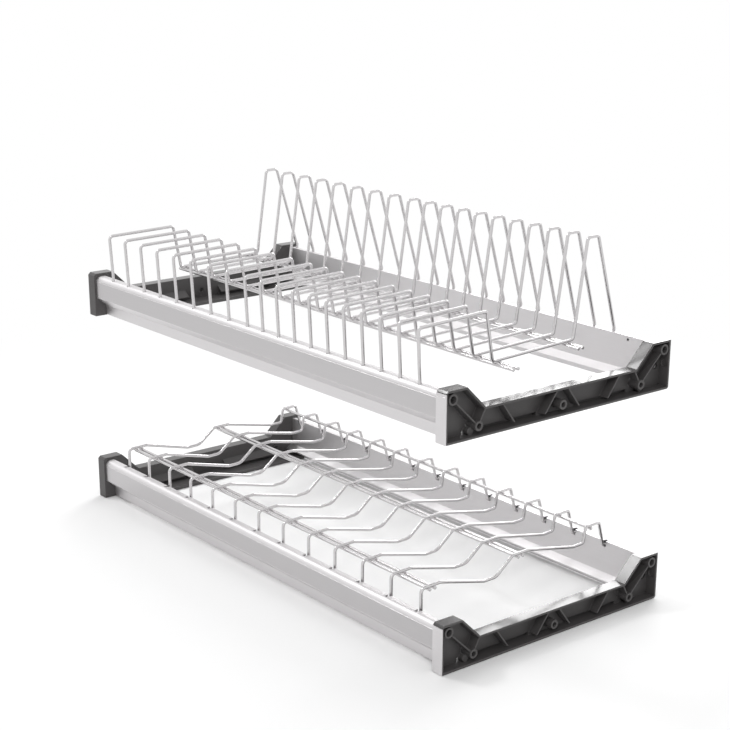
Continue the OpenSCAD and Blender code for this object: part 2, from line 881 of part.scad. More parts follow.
module plate_basket_front_runners() {
    color(bright_wire) tier(1)
        plate_runners(seat_front + plate_runner_in, front_runner_over);
}
module plate_basket_rear_runners() {
    color(bright_wire) tier(1)
        plate_runners(rack_d - seat_back - plate_rear_in - runner_gap, rear_runner_over);
}
module bowl_basket_wires() {
    color(bright_wire) tier(0) cross_wires(bowl_xs, bowl_side, bowl_leg_in, bowl_angle);
}
module bowl_basket_front_runners() {
    color(bright_wire) tier(0)
        for (d = [0, runner_gap])
            bowl_runner(bowl_leg_in + bowl_front_in + d, front_hump_z);
}
module bowl_basket_middle_runners() {
    color(bright_wire) tier(0)
        for (d = [0, runner_gap])
            bowl_runner(mid_hump_front + bowl_middle_in + d, mid_hump_z);
}
module bowl_basket_rear_runner() {
    color(bright_wire) tier(0)
        bowl_runner(rack_d - rear_hump_front + bowl_rear_in, rear_hump_z);
}

lower_left_bracket();
lower_right_bracket();
lower_right_end_cover();
lower_front_rail();
lower_rear_rail();
lower_rail_plugs();
lower_rail_screws();
upper_left_bracket();
upper_right_bracket();
upper_right_end_cover();
upper_front_rail();
upper_rear_rail();
upper_rail_plugs();
upper_rail_screws();
plate_basket_wide_wires();
plate_basket_narrow_wires();
plate_basket_front_runners();
plate_basket_rear_runners();
bowl_basket_wires();
bowl_basket_front_runners();
bowl_basket_middle_runners();
bowl_basket_rear_runner();
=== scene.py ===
"""Looks of a two-tier cabinet dish rack: satin aluminium rails between dark plastic
side brackets, with a plated wire basket for plates and another for bowls."""

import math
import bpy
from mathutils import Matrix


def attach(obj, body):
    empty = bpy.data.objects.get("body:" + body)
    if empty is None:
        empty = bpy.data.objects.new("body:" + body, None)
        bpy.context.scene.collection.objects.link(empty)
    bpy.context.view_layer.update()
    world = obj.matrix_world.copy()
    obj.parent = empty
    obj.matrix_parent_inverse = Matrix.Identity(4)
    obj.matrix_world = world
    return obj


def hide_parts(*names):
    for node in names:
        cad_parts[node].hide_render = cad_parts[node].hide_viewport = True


bl_info = {
    "name": "Cabinet Dish Rack",
    "version": (1, 0, 0),
    "blender": (4, 5, 0),
    "location": "View3D > Sidebar > Dish Rack",
    "description": "Finishes the parts of a two-tier cabinet dish rack",
    "category": "Object",
}

import bpy
from bpy.props import (
    FloatProperty, FloatVectorProperty, IntProperty, PointerProperty, StringProperty)
from mathutils import Vector

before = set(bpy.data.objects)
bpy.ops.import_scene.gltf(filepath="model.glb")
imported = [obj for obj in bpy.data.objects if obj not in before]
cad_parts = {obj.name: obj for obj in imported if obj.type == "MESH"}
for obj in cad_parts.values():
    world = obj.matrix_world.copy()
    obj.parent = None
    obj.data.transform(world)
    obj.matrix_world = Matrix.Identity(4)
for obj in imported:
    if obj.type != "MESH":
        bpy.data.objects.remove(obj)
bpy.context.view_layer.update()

MM = 0.001

# Sizes of the rack in millimetres: half its depth, the height of the upper tier's foot,
# how far the rails' outer faces lie behind the brackets' ends, and how high the bars
# of the brackets reach above their tier's foot
HALF_D = 131.25
UPPER_Z = 201.4
FACE_IN = 2.0
BAR_TOP = 24.8
FOOT_Z = {"lower": 0.0, "upper": UPPER_Z}

# How far in millimetres a face may lie below a bar's top or behind a rail's outer face
# and still be finished as part of it
TOP_SLACK = 0.6
FACE_SLACK = 0.3

# Mesh work on copies of CAD nodes: the gap in millimetres under which points are one,
# and angles in degrees up to which faces are one flat face, edges are shaded smooth,
# and edges of a moulding or of a wire's end stay unrounded
MERGE_GAP = 0.012
FLAT_ANGLE = 0.6
SMOOTH_ANGLE = 28.0
ROUND_ANGLE = 32.0
WIRE_ROUND_ANGLE = 50.0

# Side views of the basket wires in millimetres: distance from the rack's front,
# height above the tier's foot, and bend radius
PLATE_SIDE = (
    (6.5, 31.9, 0), (6.5, 44, 12), (4, 88, 4), (84.2, 88, 3.4), (93, 43.6, 3.4),
    (198.1, 43.6, 4), (213.1, 132.4, 4), (227.5, 132.4, 4), (256, 44.2, 10), (256, 31.9, 0),
)
BOWL_SIDE = (
    (7.6, 38, 0), (13.8, 38, 2.6), (13.8, 60.5, 4), (36.4, 60.5, 8), (90, 46.2, 10),
    (104.6, 46.2, 12), (125, 61, 6), (145.3, 61, 6), (205.7, 47.6, 10), (219.9, 47.6, 3),
    (222.9, 63.2, 3), (241.3, 63.2, 4), (248.7, 38, 2.6), (254.9, 38, 0),
)

# Distance from the rack's front at which a wire's place along X is given, how far it
# steps to the left on its way to the back, and the wires' places
PLATE_START, PLATE_STEP = 6.5, 22.2
BOWL_START, BOWL_STEP = 13.8, 12.3
WIDE_XS = [-241.14 + 30.08 * i for i in range(9)]
NARROW_XS = [23.76 + 24.26 * i for i in range(10)]
BOWL_XS = [-238.5 + 39.75 * i for i in range(13)]

# Runners of the plate basket: name, distances from the front, and how far they pass the
# last wire. All pass the first wire by PLATE_OVER and lie under wires at PLATE_FLOOR.
PLATE_RUNNERS = (("front", (95.4, 101.4), 24.0), ("rear", (186.1, 192.1), 18.0))
PLATE_OVER, PLATE_FLOOR = 6.0, 43.6

# Runners of the bowl basket: node, distances from the front, and height of the wires
# above them. All pass the outer wires by BOWL_OVER.
BOWL_RUNNERS = (
    ("bowl_basket_front_runners", (22.8, 28.8), 60.5),
    ("bowl_basket_middle_runners", (131.2, 137.2), 61.0),
    ("bowl_basket_rear_runner", (228.9,), 63.2),
)
BOWL_OVER = 2.0

# Wire: a bend's step in degrees; in millimetres, the shortest straight that is made and
# the gap under which points are one; how flat a weld bead is, and its depth in the wire
BEND_STEP = 11.0
SHORTEST, RING_GAP = 0.01, 0.002
BEAD_FLATNESS, BEAD_SINK = 0.62, 0.15

# Lamps: name, place, aim and size in metres, and whether polished faces mirror them
LAMPS = (
    ("top", (-0.25, 0.75, 1.6), (0, 0, 0.1), (1.5, 1.5), False),
    ("back", (-1.28, 2.345, 1.13), (0.276, 0, 0.1), (1.44, 1.28), True),
    ("left", (-1.28, -0.71, 1.88), (0.276, 0.1, 0.13), (0.42, 0.42), True),
    ("side", (1.8, -1.6, 2.1), (0, 0, 0.2), (1.6, 1.6), False),
)

# Camera: degrees that it looks down, rolls and turns, and its shift in frame widths
LOOK_DOWN, ROLL, TURN = 18.62, 0.034, 51.57
SHIFT = (0.00665, 0.12356)

# Floor in metres: its width, how far under the rack it lies so that no faces meet, and
# the distances from the rack's middle between which its shadow fades to plain white
FLOOR_WIDTH, FLOOR_GAP = 24.0, 0.0005
FADE_START, FADE_END = 0.35, 0.95


# Helpers for objects and selections

def only(piece):
    """Makes piece the one selected and active object."""
    bpy.ops.object.select_all(action="DESELECT")
    piece.select_set(True)
    bpy.context.view_layer.objects.active = piece


def copy_of(node, name):
    """A merged copy of a CAD node's mesh, each flat face made whole."""
    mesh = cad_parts[node].data.copy()
    mesh.name = name
    mesh.materials.clear()
    piece = bpy.data.objects.new(name, mesh)
    bpy.context.scene.collection.objects.link(piece)
    only(piece)
    bpy.ops.object.mode_set(mode="EDIT")
    bpy.ops.mesh.select_all(action="SELECT")
    bpy.ops.mesh.remove_doubles(threshold=MERGE_GAP * MM)
    bpy.ops.mesh.dissolve_limited(
        angle_limit=math.radians(FLAT_ANGLE), delimit={"NORMAL"})
    bpy.ops.object.mode_set(mode="OBJECT")
    return piece


def soften(piece, radius, angle=ROUND_ANGLE):
    """Rounds a piece's edges that are sharper than angle, and smooths its curved faces.

    Faces are cut into triangles only after the bevel, which would slide its new points
    along the cuts and crease the flat faces.
    """
    only(piece)
    edge = piece.modifiers.new("edge_rounding", "BEVEL")
    edge.width = radius * MM
    edge.segments = 2
    edge.limit_method = "ANGLE"
    edge.angle_limit = math.radians(angle)
    edge.use_clamp_overlap = False
    edge.miter_outer = "MITER_ARC"
    bpy.ops.object.modifier_apply(modifier=edge.name)
    bpy.ops.object.mode_set(mode="EDIT")
    bpy.ops.mesh.select_all(action="SELECT")
    bpy.ops.mesh.quads_convert_to_tris(quad_method="BEAUTY", ngon_method="BEAUTY")
    bpy.ops.object.mode_set(mode="OBJECT")
    bpy.ops.object.shade_smooth_by_angle(angle=math.radians(SMOOTH_ANGLE))
    even = piece.modifiers.new("flat_faces", "WEIGHTED_NORMAL")
    even.keep_sharp = True
    even.weight = 100
    bpy.ops.object.modifier_apply(modifier=even.name)


def apply_place(piece):
    """Puts a piece's place, turn and scale into its mesh."""
    only(piece)
    bpy.ops.object.transform_apply(location=True, rotation=True, scale=True)


def joined(pieces, name):
    """Joins pieces into one that bears the name."""
    only(pieces[0])
    for piece in pieces[1:]:
        piece.select_set(True)
    bpy.ops.object.join()
    pieces[0].name = name
    pieces[0].data.name = name
    return pieces[0]


def repeated(pattern, places, name, turn=0.0):
    """One piece made of a turned copy of pattern at each place; pattern is deleted."""
    copies = []
    for place in places:
        copy = pattern.copy()
        copy.data = pattern.data.copy()
        bpy.context.scene.collection.objects.link(copy)
        copy.location = [v * MM for v in place]
        copy.rotation_euler = (0, 0, turn)
        apply_place(copy)
        copies.append(copy)
    only(pattern)
    bpy.ops.object.delete()
    return joined(copies, name)


def finish_piece(piece, body, material, node):
    """Gives a piece its material and its CAD body, and hides the CAD node that it stands for.
    """
    piece.data.materials.clear()
    piece.data.materials.append(material)
    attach(piece, body)
    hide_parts(node)


# Helpers for wire

def slant(start, step):
    """Angle at which a wire crosses the rack, from its front end to its rear end."""
    return math.atan(step / (2 * HALF_D - 2 * start))


def passing(x, y, start, step):
    """Place along X of a wire that starts at x, at distance y from the rack's front."""
    return x - (y - start) * math.tan(slant(start, step))


def bent_wire(side, start, step):
    """Wire in the YZ plane: a ring extruded along each straight and spun round each bend.

    It starts at the origin, and is stretched along Y so that it still reaches the rear
    rail once it is turned by its slant.
    """
    look = bpy.context.scene.rack_edges
    shrink = math.cos(slant(start, step))
    path = [Vector((0, (y - start) / shrink, z)) * MM for y, z, _ in side]
    ways = [(b - a).normalized() for a, b in zip(path, path[1:])]
    turns = [math.atan2(a.y * b.z - a.z * b.y, a.dot(b)) for a, b in zip(ways, ways[1:])]
    radii = [row[2] * MM for row in side]
    trims = [r * math.tan(abs(t) / 2) for r, t in zip(radii, [0.0] + turns + [0.0])]
    bpy.ops.object.select_all(action="DESELECT")
    bpy.ops.mesh.primitive_circle_add(
        vertices=look.wire_sides, radius=look.wire_d / 2 * MM, fill_type="NOTHING",
        location=path[0], rotation=(math.atan2(-ways[0].y, ways[0].z), 0, 0))
    wire = bpy.context.object
    apply_place(wire)
    bpy.ops.object.mode_set(mode="EDIT")
    bpy.ops.mesh.select_all(action="SELECT")
    for i, way in enumerate(ways):
        straight = (path[i + 1] - path[i]).length - trims[i] - trims[i + 1]
        if straight > SHORTEST * MM:
            bpy.ops.mesh.extrude_region_move(
                TRANSFORM_OT_translate={"value": way * straight})
        if i < len(turns):
            left = Vector((0, -way.z, way.y)) * (1 if turns[i] > 0 else -1)
            centre = path[i + 1] - way * trims[i + 1] + left * radii[i + 1]
            steps = max(3, math.ceil(abs(turns[i]) / math.radians(BEND_STEP)))
            bpy.ops.mesh.spin(steps=steps, angle=abs(turns[i]), center=centre,
                              axis=(-1 if turns[i] > 0 else 1, 0, 0))
    bpy.ops.mesh.select_all(action="SELECT")
    bpy.ops.mesh.remove_doubles(threshold=RING_GAP * MM)
    bpy.ops.mesh.fill_holes(sides=0)
    bpy.ops.mesh.normals_make_consistent(inside=False)
    bpy.ops.object.mode_set(mode="OBJECT")
    # The last ring has to lie round the path's end, or a bend was spun the wrong way
    reach = look.wire_d * 0.51 * MM
    tip = [v for v in wire.data.vertices if (v.co - path[-1]).length < reach]
    if len(tip) != look.wire_sides:
        raise RuntimeError(f"a bent wire has {len(tip)} points at its far end {path[-1]}")
    soften(wire, look.wire_end, WIRE_ROUND_ANGLE)
    return wire


def straight_wire(x_a, x_b, y, z):
    """Wire along X, with its cut ends rounded a little."""
    look = bpy.context.scene.rack_edges
    bpy.ops.object.select_all(action="DESELECT")
    bpy.ops.mesh.primitive_cylinder_add(
        vertices=look.wire_sides, radius=look.wire_d / 2 * MM, depth=(x_b - x_a) * MM,
        location=[v * MM for v in ((x_a + x_b) / 2, y - HALF_D, z)],
        rotation=(0, math.radians(90), 0))
    wire = bpy.context.object
    apply_place(wire)
    soften(wire, look.wire_end, WIRE_ROUND_ANGLE)
    return wire


def weld_beads(xs, rows, start, step):
    """Small beads of once molten steel, one wherever a wire crosses a runner."""
    look = bpy.context.scene.rack_edges
    bpy.ops.object.select_all(action="DESELECT")
    bpy.ops.mesh.primitive_uv_sphere_add(segments=14, ring_count=8, radius=look.bead_r * MM)
    bead = bpy.context.object
    bead.scale = (1.0, 1.0, BEAD_FLATNESS)
    apply_place(bead)
    bpy.ops.object.shade_smooth()
    places = [(passing(x, y, start, step), y - HALF_D, z + look.wire_d / 2 - BEAD_SINK)
              for y, z in rows for x in xs]
    return repeated(bead, places, "beads")


# Helpers for colours and shader nodes

def linear(hex_code):
    """Linear RGBA of an sRGB hex colour."""
    channels = [int(hex_code[i:i + 2], 16) / 255 for i in (1, 3, 5)]
    return [c / 12.92 if c <= 0.04045 else ((c + 0.055) / 1.055) ** 2.4
            for c in channels] + [1.0]


def shaded(colour, share):
    """A linear colour made lighter or darker by a share."""
    return [min(1.0, c * share) for c in colour[:3]] + [1.0]


def add_node(tree, kind, inputs=None, **settings):
    """Adds a shader node, sets its properties, and sets or links its inputs."""
    made = tree.nodes.new(kind)
    for key, value in settings.items():
        setattr(made, key, value)
    for key, value in (inputs or {}).items():
        if isinstance(value, bpy.types.NodeSocket):
            tree.links.new(value, made.inputs[key])
        else:
            made.inputs[key].default_value = value
    return made


def new_material(name):
    """An empty node material, with its tree and output node."""
    material = bpy.data.materials.new(name)
    material.use_nodes = True
    tree = material.node_tree
    tree.nodes.clear()
    output = add_node(tree, "ShaderNodeOutputMaterial")
    return material, tree, output


# Settings

class RackFinishes(bpy.types.PropertyGroup):
    """Colours and surface values of the rack's materials."""

    plastic_hex: StringProperty(
        name="Plastic colour", description="sRGB colour of the brackets", default="#484646")
    rail_hex: StringProperty(
        name="Rail colour", description="sRGB colour of the satin rails", default="#dad8d9")
    # The outer faces' grey is painted shade: the darker reflection that these faces show, not
    # a finish of their own
    face_shade_hex: StringProperty(
        name="Rail face colour", description="sRGB colour of the brushed faces",
        default="#c3c1c2")
    wire_hex: StringProperty(
        name="Wire colour", description="sRGB colour of the plated wire", default="#d0cecf")
    screw_hex: StringProperty(
        name="Screw colour", description="sRGB colour of the plated screws", default="#a8a9ab")
    # The real grain and drawing lines are under a tenth of a millimetre. They are drawn
    # coarser here, because nothing so fine shows in a render.
    plastic_grain: FloatProperty(
        name="Moulding grain", description="Size of the moulding's grain in millimetres",
        default=0.45, min=0.1, max=2.0)
    # Painted shade: gaps narrower than this reach are darkened in the mouldings' colour
    crevice_shade: FloatProperty(
        name="Crevice reach", description="Width in millimetres up to which a gap looks dark",
        default=3.0, min=0.5, max=12.0)
    rail_streak: FloatProperty(
        name="Extrusion streaks", description="Spacing of the drawing lines in millimetres",
        default=0.8, min=0.2, max=4.0)


class RackEdges(bpy.types.PropertyGroup):
    """Edge radii and wire sizes of the rack's parts, in millimetres."""

    bracket: FloatProperty(
        name="Bracket edges", description="Edge radius in millimetres", default=0.35)
    rail: FloatProperty(
        name="Rail edges", description="Edge radius in millimetres", default=0.25)
    cover: FloatProperty(
        name="Cover edges", description="Edge radius in millimetres", default=0.2)
    screw: FloatProperty(
        name="Screw edges", description="Edge radius in millimetres", default=0.15)
    wire_end: FloatProperty(
        name="Wire ends", description="Edge radius in millimetres", default=0.4)
    wire_d: FloatProperty(
        name="Wire", description="Diameter of the wire in millimetres", default=3.0)
    wire_sides: IntProperty(
        name="Wire sides", description="Number of flat sides round a wire", default=20)
    bead_r: FloatProperty(
        name="Weld beads", description="Radius of a weld bead in millimetres", default=1.9)
    runner_drop: FloatProperty(
        name="Runner drop", default=2.7,
        description="How far a runner hangs below the wires, in millimetres")


class RackStage(bpy.types.PropertyGroup):
    """Light, floor and camera."""

    world_level: FloatProperty(
        name="Room light", description="Strength of the even light", default=0.45)
    top_level: FloatProperty(
        name="Top lamp", description="Power of the lamp above", unit="POWER", default=12.0)
    back_level: FloatProperty(
        name="Back lamp", description="Power of the low lamp behind", unit="POWER",
        default=34.0)
    left_level: FloatProperty(
        name="Left lamp", description="Power of the small lamp on the left", unit="POWER",
        default=10.5)
    side_level: FloatProperty(
        name="Side lamp", description="Power of the soft lamp at the side", unit="POWER",
        default=32.0)
    floor_hex: StringProperty(
        name="Floor colour", description="sRGB colour of the floor", default="#fbfbfb")
    camera_place: FloatVectorProperty(
        name="Camera place", description="Camera position", subtype="TRANSLATION",
        unit="LENGTH", size=3, default=(1.2060, -0.95045, 0.6096))
    camera_lens: FloatProperty(
        name="Lens", description="Focal length on a 36 mm sensor", unit="CAMERA",
        default=80.81)


# Materials

def moulded_abs(name, low, high, grain_depth, shine):
    """Dark grey ABS with the grain of its moulding tool, darkened in narrow gaps by painted
    shade.

    The colour and the roughness drift over about 22 mm, as the melt flowed.
    """
    look = bpy.context.scene.rack_finishes
    material, tree, output = new_material(name)
    place = add_node(tree, "ShaderNodeTexCoord").outputs["Object"]
    grain = add_node(tree, "ShaderNodeTexNoise", {
        "Vector": place, "Scale": 1 / (look.plastic_grain * MM), "Detail": 3.0})
    cloud = add_node(tree, "ShaderNodeTexNoise", {
        "Vector": place, "Scale": 45.0, "Detail": 2.0})
    base = linear(look.plastic_hex)
    tone = add_node(tree, "ShaderNodeMix", {
        "Factor": cloud.outputs["Fac"], "A": shaded(base, 0.93), "B": shaded(base, 1.07),
    }, data_type="RGBA")
    # Painted shade: where ambient occlusion finds little open air within the crevice reach,
    # the colour turns nearly black
    open_air = add_node(tree, "ShaderNodeAmbientOcclusion", {
        "Distance": look.crevice_shade * MM}, samples=8, only_local=True)
    depth = add_node(tree, "ShaderNodeMapRange", {
        "Value": open_air.outputs["AO"], "From Min": 0.2, "From Max": 0.5})
    crevice_shade = add_node(tree, "ShaderNodeMix", {
        "Factor": depth.outputs["Result"], "A": shaded(base, 0.05),
        "B": tone.outputs["Result"]}, data_type="RGBA")
    rough = add_node(tree, "ShaderNodeMapRange", {
        "Value": cloud.outputs["Fac"], "To Min": low, "To Max": high})
    bump = add_node(tree, "ShaderNodeBump", {
        "Height": grain.outputs["Fac"], "Strength": grain_depth, "Distance": 0.02 * MM})
    shader = add_node(tree, "ShaderNodeBsdfPrincipled", {
        "Base Color": crevice_shade.outputs["Result"], "Roughness": rough.outputs["Result"],
        "Normal": bump.outputs["Normal"], "IOR": 1.54, "Specular IOR Level": shine})
    tree.links.new(shader.outputs["BSDF"], output.inputs["Surface"])
    return material


def polished_abs():
    """ABS, moulded against polished steel: its top faces mirror a lamp behind them."""
    return moulded_abs(
        "abs_moulded_polished", low=0.14, high=0.2, grain_depth=0.1, shine=0.5)


def matt_abs():
    """ABS, moulded against spark-eroded steel: the same grey, matt and finely grained."""
    return moulded_abs(
        "abs_moulded_matt", low=0.42, high=0.52, grain_depth=0.3, shine=0.45)


def drawn_aluminium(name, hex_code, low, high, stretch, depth):
    """Aluminium with fine lines along X, where stretch is their thickness over length."""
    look = bpy.context.scene.rack_finishes
    material, tree, output = new_material(name)
    place = add_node(tree, "ShaderNodeTexCoord").outputs["Object"]
    across = 1 / (look.rail_streak * MM)
    stretched = add_node(tree, "ShaderNodeMapping", {
        "Vector": place, "Scale": (across * stretch, across, across)})
    streaks = add_node(tree, "ShaderNodeTexNoise", {
        "Vector": stretched.outputs["Vector"], "Scale": 1.0, "Detail": 3.0})
    base = linear(hex_code)
    tone = add_node(tree, "ShaderNodeMix", {
        "Factor": streaks.outputs["Fac"], "A": shaded(base, 0.96), "B": shaded(base, 1.04),
    }, data_type="RGBA")
    rough = add_node(tree, "ShaderNodeMapRange", {
        "Value": streaks.outputs["Fac"], "To Min": low, "To Max": high})
    bump = add_node(tree, "ShaderNodeBump", {
        "Height": streaks.outputs["Fac"], "Strength": depth, "Distance": 0.02 * MM})
    shader = add_node(tree, "ShaderNodeBsdfPrincipled", {
        "Base Color": tone.outputs["Result"], "Metallic": 1.0,
        "Roughness": rough.outputs["Result"], "Normal": bump.outputs["Normal"]})
    tree.links.new(shader.outputs["BSDF"], output.inputs["Surface"])
    return material


def rail_material():
    """Aluminium, extruded and silver anodised: satin, with faint drawing lines along X."""
    look = bpy.context.scene.rack_finishes
    return drawn_aluminium("aluminium_satin_anodised", look.rail_hex,
                           low=0.45, high=0.53, stretch=0.004, depth=0.12)


def face_shade_material():
    """Aluminium with fine lengthwise lines, coloured greyer than the satin parts as painted
    shade: the darker reflection that the rails' outer faces show.
    """
    look = bpy.context.scene.rack_finishes
    return drawn_aluminium("aluminium_brushed_anodised", look.face_shade_hex,
                           low=0.36, high=0.5, stretch=0.006, depth=0.2)


def wire_material():
    """Steel wire, drawn and chrome plated: bright, with a trace of the drawing die."""
    look = bpy.context.scene.rack_finishes
    material, tree, output = new_material("steel_wire_chrome_plated")
    place = add_node(tree, "ShaderNodeTexCoord").outputs["Object"]
    cloud = add_node(tree, "ShaderNodeTexNoise", {
        "Vector": place, "Scale": 1 / (6 * MM), "Detail": 2.0})
    base = linear(look.wire_hex)
    tone = add_node(tree, "ShaderNodeMix", {
        "Factor": cloud.outputs["Fac"], "A": shaded(base, 0.95), "B": shaded(base, 1.03),
    }, data_type="RGBA")
    rough = add_node(tree, "ShaderNodeMapRange", {
        "Value": cloud.outputs["Fac"], "To Min": 0.2, "To Max": 0.28})
    shader = add_node(tree, "ShaderNodeBsdfPrincipled", {
        "Base Color": tone.outputs["Result"], "Metallic": 1.0,
        "Roughness": rough.outputs["Result"]})
    tree.links.new(shader.outputs["BSDF"], output.inputs["Surface"])
    return material


def screw_material():
    """Steel, zinc plated: grey and slightly cloudy."""
    look = bpy.context.scene.rack_finishes
    material, tree, output = new_material("steel_zinc_plated")
    place = add_node(tree, "ShaderNodeTexCoord").outputs["Object"]
    cloud = add_node(tree, "ShaderNodeTexNoise", {
        "Vector": place, "Scale": 1 / (1.5 * MM), "Detail": 2.0})
    base = linear(look.screw_hex)
    tone = add_node(tree, "ShaderNodeMix", {
        "Factor": cloud.outputs["Fac"], "A": shaded(base, 0.8), "B": base,
    }, data_type="RGBA")
    shader = add_node(tree, "ShaderNodeBsdfPrincipled", {
        "Base Color": tone.outputs["Result"], "Metallic": 1.0, "Roughness": 0.34})
    tree.links.new(shader.outputs["BSDF"], output.inputs["Surface"])
    return material


MATERIALS = {}


def shared(maker):
    """The material that maker makes, made once."""
    if maker not in MATERIALS:
        MATERIALS[maker] = maker()
    return MATERIALS[maker]


# Steps that finish the rack's parts

class RACK_OT_brackets(bpy.types.Operator):
    """Finishes the four side brackets, with their upper faces polished"""

    bl_idname = "rack.brackets"
    bl_label = "Side brackets"

    def execute(self, context):
        for tier in FOOT_Z:
            for side in ("left", "right"):
                node = f"{tier}_{side}_bracket"
                piece = copy_of(node, node + "_moulding")
                soften(piece, context.scene.rack_edges.bracket)
                finish_piece(piece, "frame", shared(matt_abs), node)
                piece.data.materials.append(shared(polished_abs))
                # Polished faces look up, and not to the side as the rounded edges do
                lowest = (FOOT_Z[tier] + BAR_TOP - TOP_SLACK) * MM
                for face in piece.data.polygons:
                    up = face.normal.z > 0.3 and abs(face.normal.x) < 0.5
                    face.material_index = 1 if up and face.center.z > lowest else 0
        return {"FINISHED"}


class RACK_OT_end_covers(bpy.types.Operator):
    """Finishes the cover plates on the right brackets"""

    bl_idname = "rack.end_covers"
    bl_label = "End covers"

    def execute(self, context):
        for tier in FOOT_Z:
            node = f"{tier}_right_end_cover"
            piece = copy_of(node, node + "_plate")
            soften(piece, context.scene.rack_edges.cover)
            finish_piece(piece, "frame", shared(rail_material), node)
        return {"FINISHED"}


class RACK_OT_rails(bpy.types.Operator):
    """Finishes the four rails, with their outer faces in a greyer aluminium whose grey is
    painted shade
    """

    bl_idname = "rack.rails"
    bl_label = "Rails"

    def execute(self, context):
        for tier in FOOT_Z:
            for side in ("front", "rear"):
                node = f"{tier}_{side}_rail"
                piece = copy_of(node, node + "_extrusion")
                soften(piece, context.scene.rack_edges.rail)
                finish_piece(piece, "frame", shared(rail_material), node)
                # Painted shade: the upright outer faces take the greyer aluminium
                piece.data.materials.append(shared(face_shade_material))
                nearest = (HALF_D - FACE_IN - FACE_SLACK) * MM
                for face in piece.data.polygons:
                    upright = abs(face.normal.y) > 0.99
                    face.material_index = 1 if upright and abs(face.center.y) > nearest else 0
        return {"FINISHED"}


class RACK_OT_fasteners(bpy.types.Operator):
    """Finishes the rail screws and the plugs that they bite into"""

    bl_idname = "rack.fasteners"
    bl_label = "Screws and plugs"

    def execute(self, context):
        for tier in FOOT_Z:
            node = f"{tier}_rail_screws"
            piece = copy_of(node, node + "_plated")
            soften(piece, context.scene.rack_edges.screw)
            finish_piece(piece, "frame", shared(screw_material), node)
            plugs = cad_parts[f"{tier}_rail_plugs"]
            plugs.data.materials.clear()
            plugs.data.materials.append(shared(matt_abs))
        return {"FINISHED"}


class RACK_OT_plate_basket(bpy.types.Operator):
    """Bends the plate basket's wires and lays its runners under them"""

    bl_idname = "rack.plate_basket"
    bl_label = "Plate basket"

    def execute(self, context):
        angle = slant(PLATE_START, PLATE_STEP)
        for part, xs in (("wide", WIDE_XS), ("narrow", NARROW_XS)):
            wire = bent_wire(PLATE_SIDE, PLATE_START, PLATE_STEP)
            node = f"plate_basket_{part}_wires"
            places = [(x, PLATE_START - HALF_D, UPPER_Z) for x in xs]
            piece = repeated(wire, places, node + "_bent", angle)
            finish_piece(piece, "plate_basket", shared(wire_material), node)
        z = UPPER_Z + PLATE_FLOOR - context.scene.rack_edges.runner_drop
        for part, ys, over in PLATE_RUNNERS:
            node = f"plate_basket_{part}_runners"
            rods = []
            for y in ys:
                first = passing(WIDE_XS[0], y, PLATE_START, PLATE_STEP)
                last = passing(NARROW_XS[-1], y, PLATE_START, PLATE_STEP)
                rods.append(straight_wire(first - PLATE_OVER, last + over, y, z))
            rods.append(weld_beads(
                WIDE_XS + NARROW_XS, [(y, z) for y in ys], PLATE_START, PLATE_STEP))
            piece = joined(rods, node + "_welded")
            finish_piece(piece, "plate_basket", shared(wire_material), node)
        return {"FINISHED"}


class RACK_OT_bowl_basket(bpy.types.Operator):
    """Bends the bowl basket's wires and lays its runners under their humps"""

    bl_idname = "rack.bowl_basket"
    bl_label = "Bowl basket"

    def execute(self, context):
        node = "bowl_basket_wires"
        wire = bent_wire(BOWL_SIDE, BOWL_START, BOWL_STEP)
        places = [(x, BOWL_START - HALF_D, 0.0) for x in BOWL_XS]
        piece = repeated(wire, places, node + "_bent", slant(BOWL_START, BOWL_STEP))
        finish_piece(piece, "bowl_basket", shared(wire_material), node)
        for node, ys, top in BOWL_RUNNERS:
            z = top - context.scene.rack_edges.runner_drop
            rods = []
            for y in ys:
                first = passing(BOWL_XS[0], y, BOWL_START, BOWL_STEP)
                last = passing(BOWL_XS[-1], y, BOWL_START, BOWL_STEP)
                rods.append(straight_wire(first - BOWL_OVER, last + BOWL_OVER, y, z))
            rods.append(weld_beads(BOWL_XS, [(y, z) for y in ys], BOWL_START, BOWL_STEP))
            piece = joined(rods, node + "_welded")
            finish_piece(piece, "bowl_basket", shared(wire_material), node)
        return {"FINISHED"}


# Stage

def area_lamp(name, place, aim, size, watts, mirrored):
    """A soft rectangular lamp at place that points at aim and isn't seen itself."""
    bpy.ops.object.select_all(action="DESELECT")
    bpy.ops.object.light_add(type="AREA", location=place)
    lamp = bpy.context.object
    lamp.name = name
    lamp.data.shape = "RECTANGLE"
    lamp.data.size, lamp.data.size_y = size
    lamp.data.energy = watts
    lamp.visible_camera = False
    lamp.visible_glossy = mirrored
    way = Vector(aim) - Vector(place)
    lamp.rotation_euler = way.to_track_quat("-Z", "Y").to_euler()


def seen_directly(tree):
    """1 for camera, glossy and transmission rays, which see plain white."""
    path = add_node(tree, "ShaderNodeLightPath")
    some = add_node(tree, "ShaderNodeMath", {
        0: path.outputs["Is Camera Ray"], 1: path.outputs["Is Glossy Ray"]},
        operation="MAXIMUM")
    seen = add_node(tree, "ShaderNodeMath", {
        0: some.outputs[0], 1: path.outputs["Is Transmission Ray"]}, operation="MAXIMUM")
    return seen.outputs[0]


